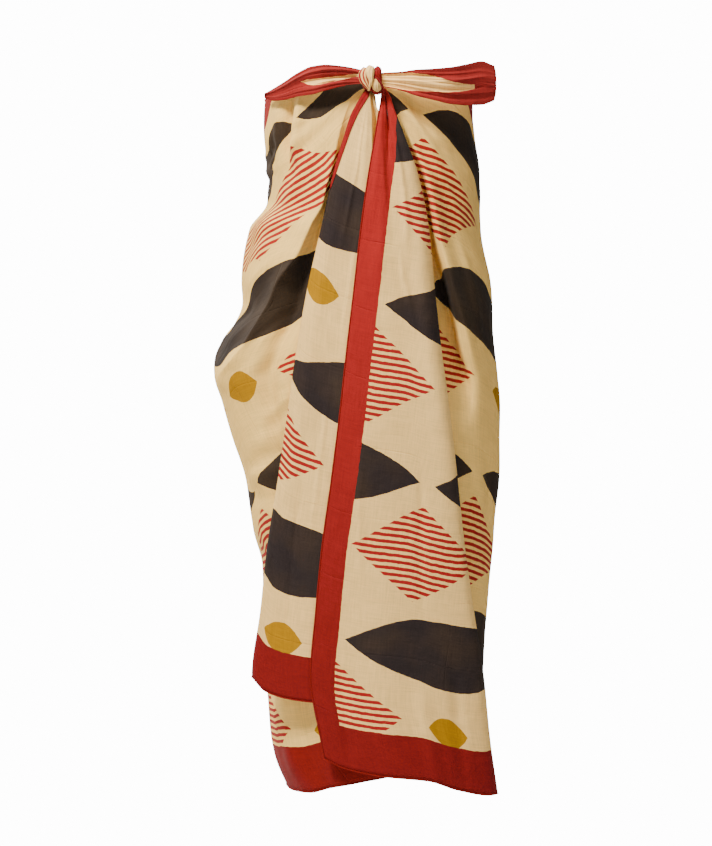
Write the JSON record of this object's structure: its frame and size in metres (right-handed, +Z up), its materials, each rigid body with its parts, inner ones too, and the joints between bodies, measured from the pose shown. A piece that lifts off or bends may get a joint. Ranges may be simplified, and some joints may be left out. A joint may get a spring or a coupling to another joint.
{
  "type": "sarong",
  "caption": "Cotton voile sarong worn strapless: wound once round the body at bust height and tied in front by its top corners, with its hem below the knee.",
  "frame": {"origin": "middle of the ring of cloth at bust height, where the wearer holds the sarong up", "axes": "+Z up towards the wearer's head, -Y to the front, where the knot is, +X to the right as one looks at the front"},
  "size_m": [0.4452, 0.3102, 1.1399],
  "materials": {
    "cream cotton": "thin printed cotton voile, matt",
    "red border cotton": "thin printed cotton voile, matt",
    "red hem": "rolled and stitched edge, matt"
  },
  "bodies": {
    "root": {"right_side_wrap": "cream cotton", "right_back_wrap": "cream cotton", "left_back_wrap": "cream cotton", "left_side_wrap": "cream cotton", "left_front_wrap": "cream cotton", "body_upper_hem": "red hem", "body_lower_hem": "red hem", "left_front_panel": "cream cotton", "left_panel_hem": "red hem", "left_panel_edge_hem": "red hem", "right_front_panel": "cream cotton", "right_panel_hem": "red hem", "right_panel_edge_hem": "red hem", "knot_core": "cream cotton", "knot_band": "cream cotton", "left_tail": "red border cotton", "left_tail_end_hem": "red hem", "right_tail": "red border cotton", "right_tail_end_hem": "red hem"}
  },
  "joints": []
}
